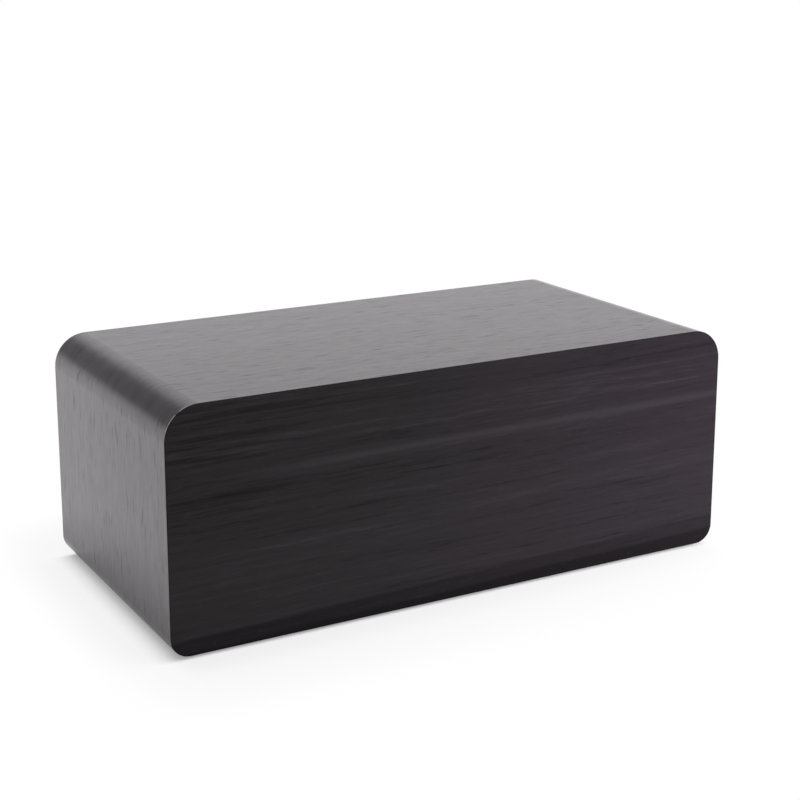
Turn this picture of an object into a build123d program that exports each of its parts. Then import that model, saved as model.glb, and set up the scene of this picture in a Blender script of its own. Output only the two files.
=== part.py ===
from build123d import *
import math
import os

# Desk alarm clock: a fibreboard block wrapped in black wood veneer, with a segment display that
# shines through the front sheet, and keys, a power socket and a battery bay on the rear cover.
# X runs along the width, +Y to the back and +Z up. The origin is on the table, under the middle
# of the block. Sizes are in millimetres.

# Wooden block
body_width = 150.0
body_height = 57.0
body_depth = 74.0
top_corner_radius = 8.0
bottom_corner_radius = 4.6
wrap_thickness = 0.4
wrap_seam = 0.2
sheet_thickness = 0.6
sheet_edge_ease = 0.2
side_wall = 5.6
front_wall = 6.0
cavity_corner_radius = 2.0
post_size = 8.0

# Feet
foot_radius = 4.5
foot_height = 0.8
foot_inset = 15.0
foot_edge_ease = 0.2

# Display
window_corner_radius = 2.0
display_gap = 0.3
diffuser_thickness = 0.4
flange_side_gap = 2.0
flange_edge_gap = 1.0
flange_border = 4.0
flange_thickness = 2.0
board_thickness = 1.6
digit_side_margin = 7.0
digit_edge_margin = 3.0
digit_space = 6.0
colon_space = 8.0
segment_width = 3.0
segment_gap = 0.5
colon_radius = 1.5
colon_rise = 6.0
lamp_length = 2.0
lamp_width = 1.2
lamp_height = 0.8
lamp_pitch = 4.4
display_screw_depth = 4.5

# Rear cover
lip_width = 2.6
cover_thickness = 2.0
cover_recess = 0.8
cover_gap = 0.25
cover_corner_radius = 3.5
cover_screw_depth = 10.0
sound_hole_radius = 0.8
sound_hole_circle = 2.9
sound_hole_count = 6
vent_length = 7.0
vent_width = 1.3
vent_pitch = 3.0
vent_count = 5

# Battery bay
cell_diameter = 10.5
cell_length = 44.5
cell_button_radius = 1.9
cell_button_height = 1.0
cell_gap = 0.3
contact_thickness = 0.4
contact_width = 7.6
tab_width = 3.0
tab_length = 3.2
tab_gap = 0.15
spring_length = 4.6
spring_radius = 2.6
spring_wire = 0.5
spring_turns = 3
spring_gap = 0.05
bay_gap = 0.3
bay_edge_gap = 1.0
bay_wall = 1.5
bay_floor = 1.5

# Battery door, its hinge and its latch
door_thickness = 1.6
door_gap = 0.2
door_ledge = 1.6
hinge_drop = 0.25
hinge_gap = 0.25
lug_radius = 1.3
lug_width = 6.0
lug_post_gap = 0.5
notch_gap = 0.3
pin_radius = 0.7
pin_length = 1.0
pin_gap = 0.06
pin_end_gap = 0.2
hinge_wall = 1.0
latch_rib = 1.2
latch_space = 4.8
latch_width = 12.0
latch_depth = 5.0
latch_thickness = 0.9
latch_setback = 0.45
latch_span = 2.7
latch_slot_gap = 0.3
latch_end_drop = 0.1
hook_height = 1.0
hook_play = 0.1
hook_reach = 0.5
hook_gap = 0.4
scoop_radius = 6.0
scoop_depth = 0.9
scoop_offset = 2.6
grip_count = 3
grip_pitch = 2.0
grip_width = 0.8
grip_length = 10.0
grip_depth = 0.4
grip_offset = 5.0

# Control board and its keys
control_side_gap = 2.95
control_edge_gap = 4.0
control_screw_inset = 3.5
control_screw_depth = 5.0
boss_radius = 2.5
key_space = 5.0
key_height = 6.5
key_top_margin = 9.0
key_proud = 0.5
key_travel = 0.5
key_gap = 0.25
key_play = 0.05
key_flange = 0.8
key_flange_thickness = 0.9
key_stem_radius = 2.0
key_stem_length = 0.6
key_ease = 0.35
mark_size = 1.6
mark_line = 0.6
mark_height = 0.2
switch_size = 6.0
switch_height = 3.5
plunger_radius = 1.75
plunger_rise = 1.5
plunger_seat = 1.0
plunger_gap = 0.1
plunger_end_gap = 0.3

# Parts on the control board, with their places from its edges or from the outer keys
usb_key_offset = 2.0
usb_edge = 9.5
usb_width = 8.94
usb_height = 3.26
usb_corner_radius = 1.2
usb_wall = 0.3
usb_setback = 0.4
usb_gap = 0.25
usb_base_height = 2.0
usb_tongue_width = 6.69
usb_tongue_thickness = 0.7
usb_tongue_setback = 1.0
usb_fit = 0.04
buzzer_key_offset = 2.0
buzzer_edge = 9.5
buzzer_radius = 4.5
buzzer_height = 5.5
buzzer_hole_radius = 1.0
buzzer_hole_depth = 2.0
microphone_edge = 5.0
microphone_radius = 3.0
microphone_height = 2.7
microphone_rim = 0.4
sensor_bead_radius = 1.2
sensor_leg_radius = 0.25
sensor_leg_spacing = 1.2
sensor_leg_length = 3.0
capacitor_side = 8.0
capacitor_edge = 17.0
capacitor_radius = 2.5
capacitor_height = 7.0
regulator_side = 8.0
regulator_edge = 9.0

# Chips and small parts on the boards
chip_length = 17.9
chip_width = 7.5
chip_height = 2.3
chip_x = -26.0
chip_lead_count = 14
small_chip_length = 4.9
small_chip_width = 3.9
small_chip_height = 1.5
small_chip_lead_count = 4
lead_pitch = 1.27
lead_width = 0.4
lead_reach = 1.4
lead_thickness = 0.25
crystal_radius = 1.5
crystal_length = 8.0
crystal_x = -8.0
resistor_count = 8
resistor_length = 2.0
resistor_width = 1.25
resistor_height = 0.5
resistor_pitch = 3.2
resistor_z = -9.0

# Ribbon and battery leads
ribbon_width = 10.2
ribbon_thickness = 0.9
header_length = 14.0
header_width = 5.2
header_height = 6.0
header_wall = 0.8
header_floor = 1.0
header_rise = 7.0
plug_gap = 0.15
plug_height = 8.0
lead_diameter = 1.2
arc_share = 0.45
lead_standoff = 1.5
pad_side = 2.5
red_pad_z = -7.0
black_pad_z = 8.0

# Screws: shank radius, head radius and head height, and the room round their shanks
wood_screw_radius = 1.25
wood_screw_head_radius = 2.4
wood_screw_head_height = 1.0
small_screw_radius = 0.9
small_screw_head_radius = 1.7
small_screw_head_height = 1.2
screw_clearance = 0.2
pilot_gap = 0.05
head_gap = 0.3
recess_width = 0.5
recess_depth = 0.5

# Planes and sizes that follow from the values above
y_front = -body_depth / 2
y_rear = body_depth / 2
z_mid = foot_height + body_height / 2
y_sheet_back = y_front + sheet_thickness
y_wall_back = y_sheet_back + front_wall
core_width = body_width - 2 * wrap_thickness
core_height = body_height - 2 * wrap_thickness
cavity_width = core_width - 2 * side_wall
cavity_height = core_height - 2 * side_wall
post_x = (cavity_width - post_size) / 2
post_z = (cavity_height - post_size) / 2

y_diffuser_back = y_sheet_back + diffuser_thickness
y_flange_back = y_wall_back + flange_thickness
y_display_back = y_flange_back + board_thickness
flange_width = cavity_width - 2 * (post_size + flange_side_gap)
flange_height = cavity_height - 2 * flange_edge_gap
window_width = flange_width - 2 * flange_border
window_height = flange_height - 2 * flange_border
digit_pitch = (window_width - colon_space) / 4 - digit_side_margin / 2
digit_width = digit_pitch - digit_space
digit_height = window_height - 2 * digit_edge_margin
display_screw_x = (window_width + flange_border) / 2
display_screw_z = (window_height + flange_border) / 2

y_cover_out = y_rear - cover_recess
y_cover_in = y_cover_out - cover_thickness
pocket_width = core_width - 2 * lip_width
pocket_height = core_height - 2 * lip_width
pocket_corner_radius = cover_corner_radius + cover_gap
cover_width = pocket_width - 2 * cover_gap
cover_height = pocket_height - 2 * cover_gap

cell_radius = cell_diameter / 2
cell_pitch = cell_diameter + cell_gap
cell_room = cavity_height - 2 * (bay_wall + bay_edge_gap) - cell_gap
# An odd number of cells, so that the two leads leave from opposite ends of the bay
cell_count = 2 * int((cell_room / cell_pitch + 1) // 2) - 1
bay_height = cell_count * cell_pitch + cell_gap
bay_length = cell_length + spring_length + 2 * contact_thickness
bay_left = bay_gap + bay_wall + post_size - cavity_width / 2
bay_right = bay_left + bay_length
bay_bottom = z_mid - bay_height / 2
bay_top = z_mid + bay_height / 2
y_door_in = y_cover_out - door_thickness
y_cell = y_door_in - cell_gap - cell_radius
y_bay_floor = y_cell - cell_radius - cell_gap
y_bay_under = y_bay_floor - bay_floor
cell_z = [bay_bottom + cell_gap + cell_radius + i * cell_pitch for i in range(cell_count)]

knuckle_radius = door_thickness + hinge_drop
hinge_reach = knuckle_radius + hinge_gap
hinge_x = bay_left - door_ledge - hinge_reach
hinge_y = y_cover_out - knuckle_radius
notch_reach = lug_radius + notch_gap
pin_half_length = lug_width / 2 + notch_gap + pin_length
lug_boss_half = pin_half_length + pin_end_gap + hinge_wall
lug_rise = cavity_height / 2 - post_size - lug_post_gap - lug_boss_half
lug_z = [z_mid - lug_rise, z_mid + lug_rise]
door_left = bay_left - door_ledge
door_right = bay_right + latch_rib + latch_space
door_bottom = bay_bottom - door_ledge
door_top = bay_top + door_ledge
latch_pocket_right = door_right + hook_reach + hook_gap
bay_block_right = latch_pocket_right + bay_wall

y_key_flange_in = y_cover_in - key_play - key_flange_thickness
y_plunger_top = y_key_flange_in - key_stem_length
y_switch_top = y_plunger_top - plunger_rise
y_control_back = y_switch_top - switch_height
y_control_front = y_control_back - board_thickness
control_room = cavity_width / 2 - post_size - bay_block_right
control_x = bay_block_right + control_room / 2
control_board_width = control_room - 2 * control_side_gap
control_board_height = cavity_height - 2 * control_edge_gap
control_half = control_board_width / 2
control_bottom = z_mid - control_board_height / 2
control_screw_x = control_half - control_screw_inset
control_screw_z = control_board_height / 2 - control_screw_inset
key_z = z_mid + control_board_height / 2 - key_top_margin
key_pitch = (control_board_width - key_space) / 3
key_width = key_pitch - key_space
key_x = {"set": control_x + key_pitch, "up": control_x, "down": control_x - key_pitch}
y_lead = y_bay_under - lead_standoff


def slab(sketch, y0, y1):
    """A sketch drawn in x and z, drawn out from y0 back to y1."""
    plane = Plane(origin=(0, y1, 0), x_dir=(1, 0, 0), z_dir=(0, -1, 0))
    return extrude(plane * sketch, amount=y1 - y0)


def block(x0, x1, y0, y1, z0, z1):
    middle = Pos((x0 + x1) / 2, (y0 + y1) / 2, (z0 + z1) / 2)
    return middle * Box(x1 - x0, y1 - y0, z1 - z0)


def rod(x, z, radius, y0, y1):
    return slab(Pos(x, z) * Circle(radius), y0, y1)


def upright(x, y, radius, z0, z1):
    return Pos(x, y, (z0 + z1) / 2) * Cylinder(radius, z1 - z0)


def cross_rod(y, z, radius, x0, x1):
    return Pos((x0 + x1) / 2, y, z) * Rot(0, 90, 0) * Cylinder(radius, x1 - x0)


def outline(width, height, radius):
    return Pos(0, z_mid) * RectangleRounded(width, height, radius)


def block_outline(inset):
    """The block seen from the front, moved in by the inset; its upper corners are the rounder ones."""
    shape = Rectangle(body_width - 2 * inset, body_height - 2 * inset)
    shape = fillet(shape.vertices().group_by(Axis.Y)[-1], top_corner_radius - inset)
    shape = fillet(shape.vertices().group_by(Axis.Y)[0], bottom_corner_radius - inset)
    return Pos(0, z_mid) * shape


def corners(x, z):
    return [(sx * x, z_mid + sz * z) for sx in (-1, 1) for sz in (-1, 1)]


def group(pieces):
    return Compound(children=list(pieces))


def screw(x, z, y_seat, facing, radius, depth, head_radius, head_height):
    """A cross-recessed screw; facing is 1 with its head to the back, -1 with it to the front."""
    y_top = y_seat + facing * head_height
    y_tip = y_seat - facing * depth
    y_recess = y_top - facing * recess_depth
    head = rod(x, z, head_radius, min(y_seat, y_top), max(y_seat, y_top))
    shank = rod(x, z, radius, min(y_seat, y_tip), max(y_seat, y_tip))
    cross = Rectangle(head_radius, recess_width) + Rectangle(recess_width, head_radius)
    recess = slab(Pos(x, z) * cross, min(y_top, y_recess), max(y_top, y_recess))
    return head + shank - recess


# Wooden block

def case_body():
    core = slab(block_outline(wrap_thickness), y_sheet_back, y_rear)
    hollow = slab(outline(cavity_width, cavity_height, cavity_corner_radius), y_wall_back, y_rear)
    for x, z in corners(post_x, post_z):
        hollow -= slab(Pos(x, z) * Rectangle(post_size, post_size), y_wall_back, y_cover_in)
    body = core - hollow
    body -= slab(outline(pocket_width, pocket_height, pocket_corner_radius), y_cover_in, y_rear)
    body -= slab(outline(window_width, window_height, window_corner_radius), y_sheet_back, y_wall_back)
    for x, z in corners(post_x, post_z):
        body -= rod(x, z, wood_screw_radius + pilot_gap, y_cover_in - cover_screw_depth, y_cover_in)
    for x, z in corners(display_screw_x, display_screw_z):
        body -= rod(x, z, small_screw_radius + pilot_gap, y_wall_back - display_screw_depth, y_wall_back)
    return body


def wrap_veneer():
    skin = slab(block_outline(0), y_sheet_back, y_rear)
    skin -= slab(block_outline(wrap_thickness), y_sheet_back, y_rear)
    half = wrap_seam / 2
    return skin - block(-half, half, y_sheet_back, y_rear, foot_height, foot_height + wrap_thickness)


def front_sheet():
    sheet = slab(block_outline(0), y_front, y_sheet_back)
    rim = sheet.faces().sort_by(Axis.Y)[0].edges()
    return fillet(rim, sheet_edge_ease)


def foot(x, y):
    pad = upright(x, y, foot_radius, 0, foot_height)
    rim = pad.faces().sort_by(Axis.Z)[0].edges()
    return chamfer(rim, foot_edge_ease)


def feet():
    x = body_width / 2 - foot_inset
    y = body_depth / 2 - foot_inset
    return group(foot(sx * x, sy * y) for sx in (-1, 1) for sy in (-1, 1))


# Display

def bar(x, z, length, turn):
    half = length / 2
    shoulder = half - segment_width / 2
    side = segment_width / 2
    lower = [(-half, 0), (-shoulder, -side), (shoulder, -side)]
    upper = [(half, 0), (shoulder, side), (-shoulder, side)]
    return Pos(x, z) * Rot(0, 0, turn) * Polygon(*lower, *upper)


def digit_bars(x):
    """Middle, length and turn of each of a digit's seven bars."""
    across = (digit_width - segment_width) / 2
    up = (digit_height - segment_width) / 2
    flat = [(x, z_mid + row * up, 2 * (across - segment_gap), 0) for row in (-1, 0, 1)]
    tall = [
        (x + side * across, z_mid + half * up / 2, up - 2 * segment_gap, 90)
        for side in (-1, 1)
        for half in (-1, 1)
    ]
    return flat + tall


def digit_places():
    return [side * (colon_space / 2 + (i + 0.5) * digit_pitch) for side in (-1, 1) for i in (0, 1)]


def colon_dots():
    return [(0, z_mid - colon_rise), (0, z_mid + colon_rise)]


def light_slots():
    bars = [bar(*place) for x in digit_places() for place in digit_bars(x)]
    dots = [Pos(x, z) * Circle(colon_radius) for x, z in colon_dots()]
    return [slab(shape, y_diffuser_back, y_flange_back) for shape in bars + dots]


def diffuser_sheet():
    shape = outline(
        window_width - 2 * display_gap,
        window_height - 2 * display_gap,
        window_corner_radius - display_gap,
    )
    return slab(shape, y_sheet_back, y_diffuser_back)


def light_mask():
    nose = outline(
        window_width - 2 * display_gap,
        window_height - 2 * display_gap,
        window_corner_radius - display_gap,
    )
    mask = slab(nose, y_diffuser_back, y_wall_back)
    mask += slab(Pos(0, z_mid) * Rectangle(flange_width, flange_height), y_wall_back, y_flange_back)
    mask -= light_slots()
    for x, z in corners(display_screw_x, display_screw_z):
        mask -= rod(x, z, small_screw_radius + screw_clearance, y_wall_back, y_flange_back)
    return mask


def display_board():
    shape = Pos(0, z_mid) * Rectangle(flange_width, flange_height)
    board = slab(shape, y_flange_back, y_display_back)
    for x, z in corners(display_screw_x, display_screw_z):
        board -= rod(x, z, small_screw_radius + screw_clearance, y_flange_back, y_display_back)
    return board


def lamp(x, z, turn):
    shape = Pos(x, z) * Rot(0, 0, turn) * Rectangle(lamp_length, lamp_width)
    return slab(shape, y_flange_back - lamp_height, y_flange_back)


def segment_leds():
    lamps = [lamp(x, z, 0) for x, z in colon_dots()]
    for digit_x in digit_places():
        for x, z, length, turn in digit_bars(digit_x):
            room = length - segment_width - lamp_length
            count = max(1, int(room // lamp_pitch) + 1)
            step = Vector(lamp_pitch, 0).rotate(Axis.Z, turn)
            for i in range(count):
                place = step * (i - (count - 1) / 2)
                lamps.append(lamp(x + place.X, z + place.Y, turn))
    return group(lamps)


def chip(x, z, y_face, facing, length, width, height, lead_count):
    """A chip with its leads in two rows along x; facing is 1 on a back face, -1 on a front face."""
    y_top = y_face + facing * height
    y_foot = y_face + facing * lead_thickness
    body = block(
        x - length / 2, x + length / 2, min(y_foot, y_top), max(y_foot, y_top), z - width / 2, z + width / 2
    )
    for i in range(lead_count):
        lead_x = x + (i - (lead_count - 1) / 2) * lead_pitch
        y0, y1 = sorted((y_face, y_foot + facing * lead_thickness))
        reach = width / 2 + lead_reach
        body += block(lead_x - lead_width / 2, lead_x + lead_width / 2, y0, y1, z - reach, z + reach)
    return body


def clock_chip():
    return chip(chip_x, z_mid, y_display_back, 1, chip_length, chip_width, chip_height, chip_lead_count)


def clock_crystal():
    y = y_display_back + crystal_radius
    can = cross_rod(y, z_mid, crystal_radius, crystal_x - crystal_length / 2, crystal_x + crystal_length / 2)
    seat = block(
        crystal_x - crystal_length / 2,
        crystal_x + crystal_length / 2,
        y_display_back,
        y,
        z_mid - crystal_radius / 2,
        z_mid + crystal_radius / 2,
    )
    return can + seat


def resistor(x):
    z = z_mid + resistor_z
    return block(
        x - resistor_width / 2,
        x + resistor_width / 2,
        y_display_back,
        y_display_back + resistor_height,
        z - resistor_length / 2,
        z + resistor_length / 2,
    )


def display_resistors():
    first = chip_x - (resistor_count - 1) * resistor_pitch / 2
    return group(resistor(first + i * resistor_pitch) for i in range(resistor_count))


def display_screws():
    depth = board_thickness + flange_thickness + display_screw_depth - pilot_gap
    size = (small_screw_radius, depth, small_screw_head_radius, small_screw_head_height)
    return group(screw(x, z, y_display_back, 1, *size) for x, z in corners(display_screw_x, display_screw_z))


# Ribbon between the boards

def header(z, y_face, facing):
    y_top = y_face + facing * header_height
    y_inside = y_face + facing * header_floor
    shell = Pos(control_x, z) * Rectangle(header_length, header_width)
    inside = Pos(control_x, z) * Rectangle(header_length - 2 * header_wall, header_width - 2 * header_wall)
    return slab(shell, *sorted((y_face, y_top))) - slab(inside, *sorted((y_inside, y_top)))


def plug(z, y_face, facing):
    y_inside = y_face + facing * header_floor
    room = 2 * (header_wall + plug_gap)
    shape = Pos(control_x, z) * Rectangle(header_length - room, header_width - room)
    return slab(shape, *sorted((y_inside, y_inside + facing * plug_height)))


def display_header():
    return header(z_mid - header_rise, y_display_back, 1)


def control_header():
    return header(z_mid + header_rise, y_control_front, -1)


def ribbon_plugs():
    display_plug = plug(z_mid - header_rise, y_display_back, 1)
    control_plug = plug(z_mid + header_rise, y_control_front, -1)
    return group([display_plug, control_plug])


def arc_radii(points):
    """The largest even arcs that the runs of a route leave room for."""
    radii = []
    for before, here, after in zip(points, points[1:], points[2:]):
        first = Vector(here) - Vector(before)
        second = Vector(after) - Vector(here)
        turn = math.radians(first.get_angle(second))
        radii.append(arc_share * min(first.length, second.length) / math.tan(turn / 2))
    return radii


def ribbon_cable():
    y0 = y_display_back + header_floor + plug_height
    y1 = y_control_front - header_floor - plug_height
    low = z_mid - header_rise
    high = z_mid + header_rise
    third = (y1 - y0) / 3
    points = [(y0, low), (y0 + third, low), (y1 - third, high), (y1, high)]
    route = FilletPolyline(*points, radius=arc_radii(points))
    strip = Plane.YZ.offset(control_x - ribbon_width / 2) * trace(route, ribbon_thickness)
    return extrude(strip, amount=ribbon_width)


# Battery bay and rear cover

def hinge_pocket(cover):
    """Rounds the cover's edge at the door's hinge and cuts the notches and pin holes for the lugs."""
    edge = hinge_x + knuckle_radius
    corner = block(hinge_x, edge, hinge_y, y_cover_out, door_bottom - door_gap, door_top + door_gap)
    corner -= upright(hinge_x, hinge_y, knuckle_radius, door_bottom - 2 * door_gap, door_top + 2 * door_gap)
    cover -= corner
    for z in lug_z:
        cover += block(
            hinge_x - notch_reach - hinge_wall,
            bay_left - bay_wall,
            hinge_y - notch_reach - hinge_wall,
            y_cover_in,
            z - lug_boss_half,
            z + lug_boss_half,
        )
    for z in lug_z:
        half = lug_width / 2 + notch_gap
        cover -= block(hinge_x - notch_reach, edge, hinge_y - notch_reach, y_cover_out, z - half, z + half)
        hole = pin_half_length + pin_end_gap
        cover -= upright(hinge_x, hinge_y, pin_radius + pin_gap, z - hole, z + hole)
    return cover


def bay_cuts(cover):
    cover -= block(
        hinge_x + knuckle_radius,
        door_right + door_gap,
        y_door_in,
        y_cover_out,
        door_bottom - door_gap,
        door_top + door_gap,
    )
    cover -= block(bay_left, bay_right, y_bay_floor, y_door_in, bay_bottom, bay_top)
    half = latch_width / 2 + latch_slot_gap
    latch_floor = y_door_in - latch_depth - latch_thickness / 2 - hook_gap
    pocket_left = bay_right + latch_rib
    cover -= block(pocket_left, door_right + door_gap, latch_floor, y_door_in, z_mid - half, z_mid + half)
    cover -= block(pocket_left, latch_pocket_right, latch_floor, y_cover_in, z_mid - half, z_mid + half)
    scoop = rod(door_right + scoop_offset, z_mid, scoop_radius, y_cover_out - scoop_depth, y_cover_out)
    cover -= scoop
    for x0, z in ((bay_left, cell_z[0]), (bay_right - contact_thickness, cell_z[-1])):
        half_tab = tab_width / 2 + tab_gap
        x1 = x0 + contact_thickness + tab_gap
        cover -= block(x0 - tab_gap, x1, y_bay_under, y_bay_floor, z - half_tab, z + half_tab)
    return cover


def control_cuts(cover):
    for x in key_x.values():
        cover -= slab(Pos(x, key_z) * key_shape(key_gap), y_cover_in, y_cover_out)
    mouth = RectangleRounded(usb_width + 2 * usb_gap, usb_height + 2 * usb_gap, usb_corner_radius + usb_gap)
    cover -= slab(usb_place() * mouth, y_cover_in, y_cover_out)
    sound = Pos(key_x["down"] + buzzer_key_offset, control_bottom + buzzer_edge)
    holes = [sound * Circle(sound_hole_radius)]
    for i in range(sound_hole_count):
        place = sound * Rot(0, 0, 360 / sound_hole_count * i) * Pos(sound_hole_circle, 0)
        holes.append(place * Circle(sound_hole_radius))
    holes.append(Pos(control_x, control_bottom + microphone_edge) * Circle(sound_hole_radius))
    for i in range(vent_count):
        x = control_x + (i - (vent_count - 1) / 2) * vent_pitch
        holes.append(Pos(x, z_mid) * SlotOverall(vent_length, vent_width, rotation=90))
    cover -= [slab(hole, y_cover_in, y_cover_out) for hole in holes]
    return cover


def control_corners():
    return [(control_x + x, z) for x, z in corners(control_screw_x, control_screw_z)]


def battery_bay():
    tub = block(
        bay_left - bay_wall,
        bay_block_right,
        y_bay_under,
        y_cover_in,
        bay_bottom - bay_wall,
        bay_top + bay_wall,
    )
    return bay_cuts(tub)


def rear_cover():
    cover = slab(outline(cover_width, cover_height, cover_corner_radius), y_cover_in, y_cover_out)
    cover = hinge_pocket(bay_cuts(cover))
    cover = control_cuts(cover)
    for x, z in control_corners():
        cover += rod(x, z, boss_radius, y_control_back, y_cover_in)
        y_pilot = y_control_back + control_screw_depth
        cover -= rod(x, z, small_screw_radius + pilot_gap, y_control_back, y_pilot)
    for x, z in corners(post_x, post_z):
        y_seat = y_cover_out - wood_screw_head_height
        cover -= rod(x, z, wood_screw_radius + screw_clearance, y_cover_in, y_seat)
        cover -= rod(x, z, wood_screw_head_radius + head_gap, y_seat, y_cover_out)
    return cover


def cover_screws():
    y_seat = y_cover_out - wood_screw_head_height
    depth = y_seat - y_cover_in + cover_screw_depth - pilot_gap
    size = (wood_screw_radius, depth, wood_screw_head_radius, wood_screw_head_height)
    return group(screw(x, z, y_seat, 1, *size) for x, z in corners(post_x, post_z))


def battery_door():
    door = block(door_left, door_right, y_door_in, y_cover_out, door_bottom, door_top)
    half = latch_width / 2 + latch_slot_gap
    slot_left = door_right - latch_setback - latch_thickness - latch_slot_gap
    door -= block(slot_left, door_right, y_door_in, y_cover_out, z_mid - half, z_mid + half)
    for i in range(grip_count):
        x = door_right - grip_offset - i * grip_pitch
        groove = Pos(x, z_mid) * Rectangle(grip_width, grip_length)
        door -= slab(groove, y_cover_out - grip_depth, y_cover_out)
    for z in lug_z:
        low = z - lug_width / 2
        high = z + lug_width / 2
        door += upright(hinge_x, hinge_y, lug_radius, low, high)
        door += upright(hinge_x, hinge_y, pin_radius, z - pin_half_length, z + pin_half_length)
        door += block(hinge_x, door_left, y_door_in, hinge_y + lug_radius, low, high)
    return door


def battery_door_latch():
    outer = door_right - latch_setback - latch_thickness / 2
    inner = outer - latch_span
    y_turn = y_door_in - latch_depth + latch_span / 2
    y_end = y_cover_out - latch_end_drop
    start = Line((inner, y_door_in), (inner, y_turn))
    bend = ThreePointArc((inner, y_turn), ((inner + outer) / 2, y_door_in - latch_depth), (outer, y_turn))
    end = Line((outer, y_turn), (outer, y_end))
    profile = trace(Wire([start, bend, end]), latch_thickness)
    tongue = extrude(profile, amount=latch_width)
    y_hook = y_cover_in - hook_play
    hook = Polygon(
        (outer, y_hook - hook_height), (door_right + hook_reach, y_hook), (outer, y_hook)
    )
    tongue += extrude(hook, amount=latch_width)
    return Pos(0, 0, z_mid - latch_width / 2) * tongue


def faces_left(i):
    return i % 2 == 0


def cell_ends(i):
    """X of a cell's button tip and of its flat end."""
    if faces_left(i):
        tip = bay_left + contact_thickness
        return tip, tip + cell_length
    tip = bay_right - contact_thickness
    return tip, tip - cell_length


def cell(i):
    tip, flat = cell_ends(i)
    shoulder = tip + math.copysign(cell_button_height, flat - tip)
    body = cross_rod(y_cell, cell_z[i], cell_radius, min(shoulder, flat), max(shoulder, flat))
    return body + cross_rod(y_cell, cell_z[i], cell_button_radius, min(tip, shoulder), max(tip, shoulder))


def battery_cells():
    return group(cell(i) for i in range(cell_count))


def contact(x0, z_low, z_high):
    top = y_cell + contact_width / 2
    half = contact_width / 2
    return block(x0, x0 + contact_thickness, y_bay_floor, top, z_low - half, z_high + half)


def tab(x0, z):
    half = tab_width / 2
    return block(x0, x0 + contact_thickness, y_bay_under - tab_length, y_bay_floor, z - half, z + half)


def contact_plates():
    left = bay_left
    right = bay_right - contact_thickness
    plus = contact(left, cell_z[0], cell_z[0]) + tab(left, cell_z[0])
    minus = contact(right, cell_z[-1], cell_z[-1]) + tab(right, cell_z[-1])
    bridges = []
    for i in range(cell_count - 1):
        bridges.append(contact(right if faces_left(i) else left, cell_z[i], cell_z[i + 1]))
    return group([plus, minus] + bridges)


def coil_route(x0, x1):
    """A helix along x as pairs of tangent arcs, two for each quarter turn, with its first tangent."""
    steps = 4 * spring_turns
    rise = (x1 - x0) / steps
    points = []
    tangents = []
    for i in range(steps + 1):
        angle = math.pi / 2 * i
        points.append(Vector(x0 + rise * i, spring_radius * math.cos(angle), spring_radius * math.sin(angle)))
        speed = spring_radius * math.pi / 2
        along = Vector(rise, -speed * math.sin(angle), speed * math.cos(angle))
        tangents.append(along.normalized())
    edges = []
    for p0, p1, t0, t1 in zip(points, points[1:], tangents, tangents[1:]):
        chord = p1 - p0
        spread = 1 - t0.dot(t1)
        lean = chord.dot(t0 + t1)
        reach = (math.sqrt(lean * lean + 2 * spread * chord.dot(chord)) - lean) / (2 * spread)
        knee = (p0 + p1 + (t0 - t1) * reach) * 0.5
        knee_tangent = ((p1 - t1 * reach) - (p0 + t0 * reach)).normalized()
        edges.append(TangentArc(p0, knee, tangent=t0))
        edges.append(TangentArc(knee, p1, tangent=knee_tangent))
    return Wire(edges), points[0], tangents[0]


def spring(i):
    tip, flat = cell_ends(i)
    plate = bay_right - contact_thickness if faces_left(i) else bay_left + contact_thickness
    end_room = spring_wire / 2 + spring_gap
    x0 = min(flat, plate) + end_room
    x1 = max(flat, plate) - end_room
    route, start, tangent = coil_route(x0, x1)
    wire = sweep(Plane(origin=start, z_dir=tangent) * Circle(spring_wire / 2), path=route)
    return Pos(0, y_cell, cell_z[i]) * wire


def battery_springs():
    pitch = (spring_length - spring_wire - 2 * spring_gap) / spring_turns
    print("battery spring, gap between turns:", round(pitch - spring_wire, 2))
    return group(spring(i) for i in range(cell_count))


def lead(points):
    radii = arc_radii(points)
    print("battery lead, radii:", [round(radius, 1) for radius in radii])
    route = FilletPolyline(*points, radius=radii)
    start = Plane(origin=points[0], z_dir=Vector(points[1]) - Vector(points[0]))
    return sweep(start * Circle(lead_diameter / 2), path=route)


def red_lead():
    low = cell_z[0]
    pad_x = control_x - control_half + pad_side
    pad_z = z_mid + red_pad_z
    return lead([
        (bay_left + contact_thickness, y_lead, low),
        (bay_left + 12, y_lead, low),
        (bay_left + 26, y_lead - 0.5, low + 2.0),
        (bay_left + 40, y_lead - 0.3, low + 1.6),
        (bay_right, y_lead - 0.6, low + 3.4),
        (pad_x, y_lead - 0.8, pad_z),
        (pad_x, y_control_front, pad_z),
    ])


def black_lead():
    pad_x = control_x - control_half + pad_side
    pad_z = z_mid + black_pad_z
    return lead([
        (bay_right, y_lead, cell_z[-1]),
        (bay_right + 5, y_lead, cell_z[-1]),
        (pad_x, y_lead - 0.8, pad_z),
        (pad_x, y_control_front, pad_z),
    ])


# Control board and keys

def control_board():
    shape = Pos(control_x, z_mid) * Rectangle(control_board_width, control_board_height)
    board = slab(shape, y_control_front, y_control_back)
    for x, z in control_corners():
        board -= rod(x, z, small_screw_radius + screw_clearance, y_control_front, y_control_back)
    return board


def control_screws():
    depth = board_thickness + control_screw_depth - pilot_gap
    size = (small_screw_radius, depth, small_screw_head_radius, small_screw_head_height)
    return group(screw(x, z, y_control_front, -1, *size) for x, z in control_corners())


def switch_body(x):
    body = slab(Pos(x, key_z) * Rectangle(switch_size, switch_size), y_control_back, y_switch_top)
    y_well = y_switch_top - plunger_seat - key_travel - plunger_end_gap
    return body - rod(x, key_z, plunger_radius + plunger_gap, y_well, y_switch_top)


def switch_bodies():
    return group(switch_body(x) for x in key_x.values())


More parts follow.
